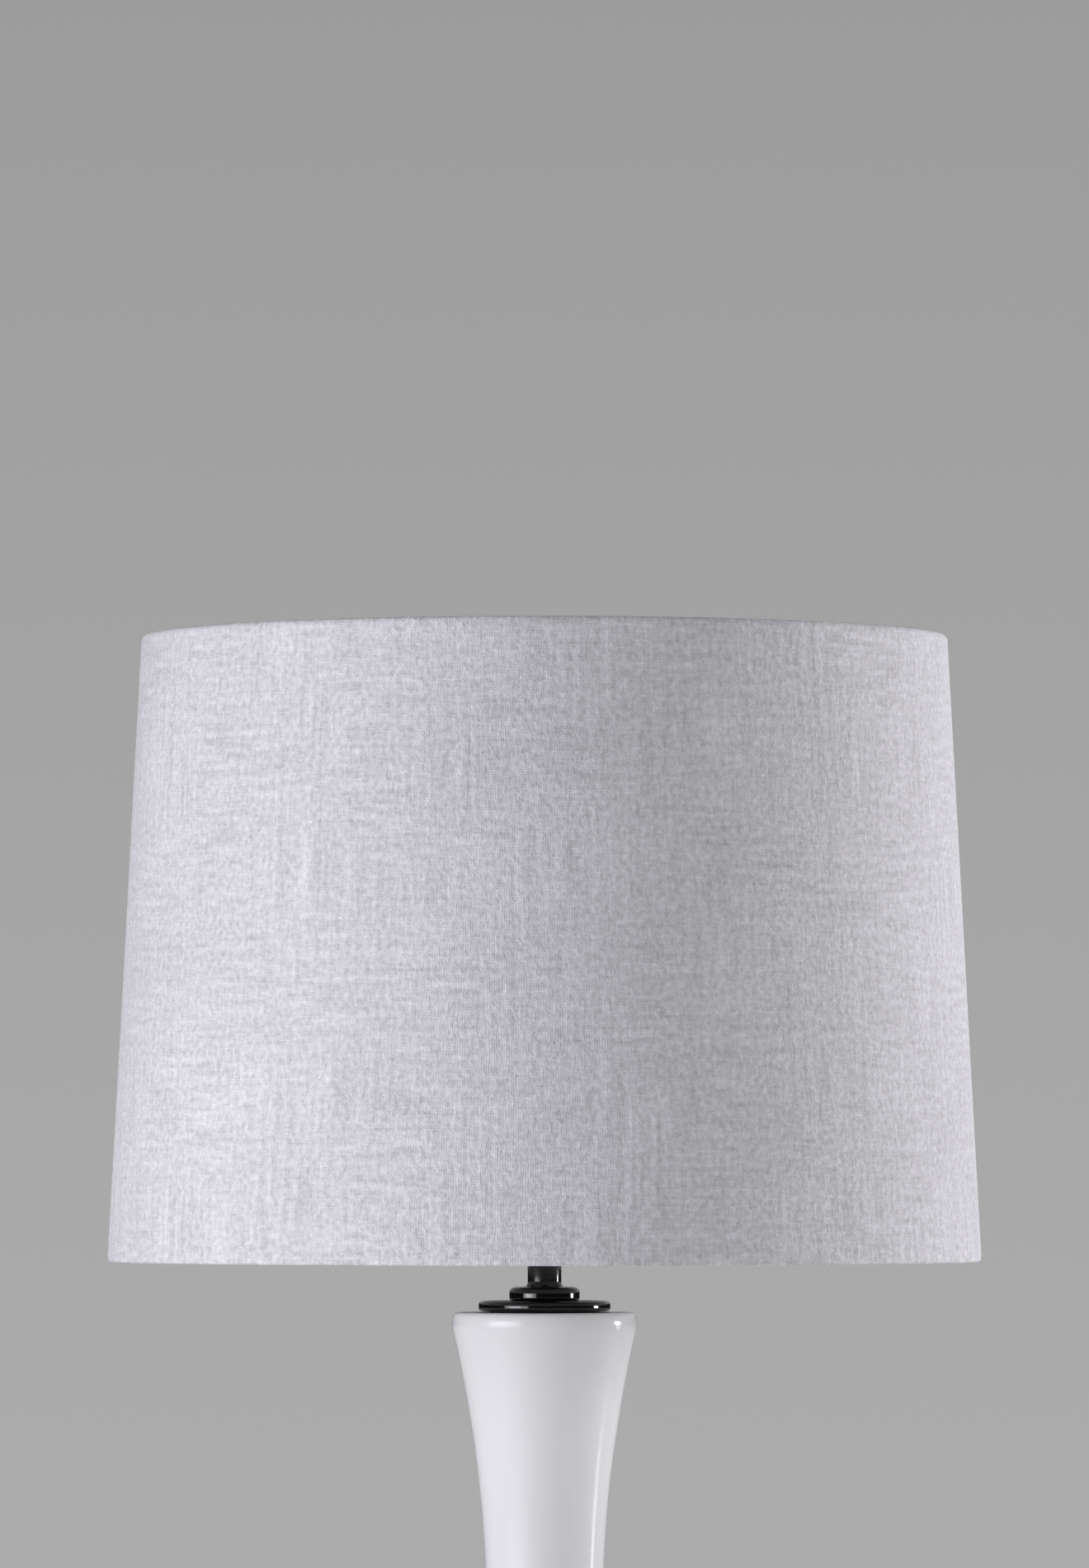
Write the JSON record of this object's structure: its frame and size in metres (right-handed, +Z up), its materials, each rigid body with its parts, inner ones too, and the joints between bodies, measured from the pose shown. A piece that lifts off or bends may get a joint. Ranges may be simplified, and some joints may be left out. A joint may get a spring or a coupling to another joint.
{
  "type": "table lamp",
  "caption": "Table lamp: white glazed ceramic bottle on a black stepped base, black cap and neck, harp, turn-knob lamp holder and a tapered linen drum shade held by a finial.",
  "frame": {"origin": "centre of the felt's underside, on the lamp's axis, where the lamp stands", "axes": "+Z up the lamp's axis; -Y the front, where the switch knob points; +Y the back, where the cord inlet opens; the harp lies in the XZ plane"},
  "size_m": [0.4296, 0.4296, 0.7488],
  "materials": {
    "white_glaze": "gloss",
    "black_metal": "gloss",
    "linen": "matte",
    "shade_liner": "satin",
    "steel": "satin",
    "brass": "satin",
    "aluminium": "satin",
    "cast_iron": "matte",
    "black_plastic": "satin",
    "fibre": "matte",
    "rubber": "matte",
    "felt": "matte",
    "opal_plastic": "satin",
    "circuit_board": "satin"
  },
  "bodies": {
    "lamp": {"base_felt": "felt", "base_plate": "black_metal", "cord_bushing": "black_plastic", "base_weight": "cast_iron", "rod_washer": "steel", "rod_lock_washer": "steel", "rod_nut": "steel", "plinth_disc": "black_metal", "foot_gasket": "rubber", "ceramic_body": "white_glaze", "threaded_rod": "steel", "vase_gasket": "rubber", "vase_cap": "black_metal", "check_ring": "black_metal", "neck_tube": "black_metal", "harp_saddle": "black_metal", "saddle_locknut": "steel", "harp_wire": "black_metal", "harp_clip": "black_metal", "harp_seat": "brass", "socket_cap": "black_metal", "socket_set_screw": "steel", "socket_shell": "black_metal", "socket_liner": "fibre", "socket_core": "black_plastic", "terminal_screw_brass": "brass", "terminal_screw_silver": "steel", "socket_screw_shell": "aluminium", "socket_contact": "brass"},
    "switch": {"switch_shaft": "brass", "switch_knob": "black_plastic"},
    "sleeve_right": {"harp_sleeve_right": "black_metal"},
    "sleeve_left": {"harp_sleeve_left": "black_metal"},
    "shade": {"shade_fabric": "linen", "shade_liner": "shade_liner", "shade_top_ring": "steel", "shade_bottom_ring": "steel", "spider_hub": "steel", "spider_arm_1": "steel", "spider_arm_2": "steel", "spider_arm_3": "steel"},
    "finial_rise": {"finial_insert": "brass"},
    "finial": {"finial_base": "black_metal", "finial_ball": "black_metal"},
    "bulb_rise": {"bulb_contact": "brass"},
    "bulb": {"bulb_insulator": "black_plastic", "bulb_screw_cap": "aluminium", "bulb_housing": "opal_plastic", "bulb_dome": "opal_plastic", "bulb_led_board": "aluminium", "bulb_driver": "circuit_board"}
  },
  "joints": [
    {"name": "switch_turn", "type": "hinge", "parent": "lamp", "child": "switch", "pos_m": [0, 0, 0.477], "axis": [0, -1, 0], "continuous": true},
    {"name": "sleeve_right_lift", "type": "slide", "parent": "lamp", "child": "sleeve_right", "axis": [0, 0, 1], "range_m": [0, 0.0125]},
    {"name": "sleeve_left_lift", "type": "slide", "parent": "lamp", "child": "sleeve_left", "axis": [0, 0, 1], "range_m": [0, 0.0125]},
    {"name": "shade_turn", "type": "hinge", "parent": "lamp", "child": "shade", "pos_m": [0, 0, 0.722], "axis": [0, 0, 1], "continuous": true},
    {"name": "finial_lift", "type": "slide", "parent": "lamp", "child": "finial_rise", "axis": [0, 0, 1], "range_m": [0, 0.00564]},
    {"name": "finial_turn", "type": "hinge", "parent": "finial_rise", "child": "finial", "pos_m": [0, 0, 0.73], "axis": [0, 0, 1], "range_deg": [0, 2160]},
    {"name": "bulb_lift", "type": "slide", "parent": "lamp", "child": "bulb_rise", "axis": [0, 0, 1], "range_m": [0, 0.01455]},
    {"name": "bulb_turn", "type": "hinge", "parent": "bulb_rise", "child": "bulb", "pos_m": [0, 0, 0.5], "axis": [0, 0, 1], "range_deg": [0, 1440]}
  ],
  "couplings": [
    {"joint": "finial_turn", "follows": "finial_lift", "rad_per_m": 6679.1},
    {"joint": "bulb_lift", "follows": "bulb_turn", "m_per_rad": 0.00057773}
  ]
}
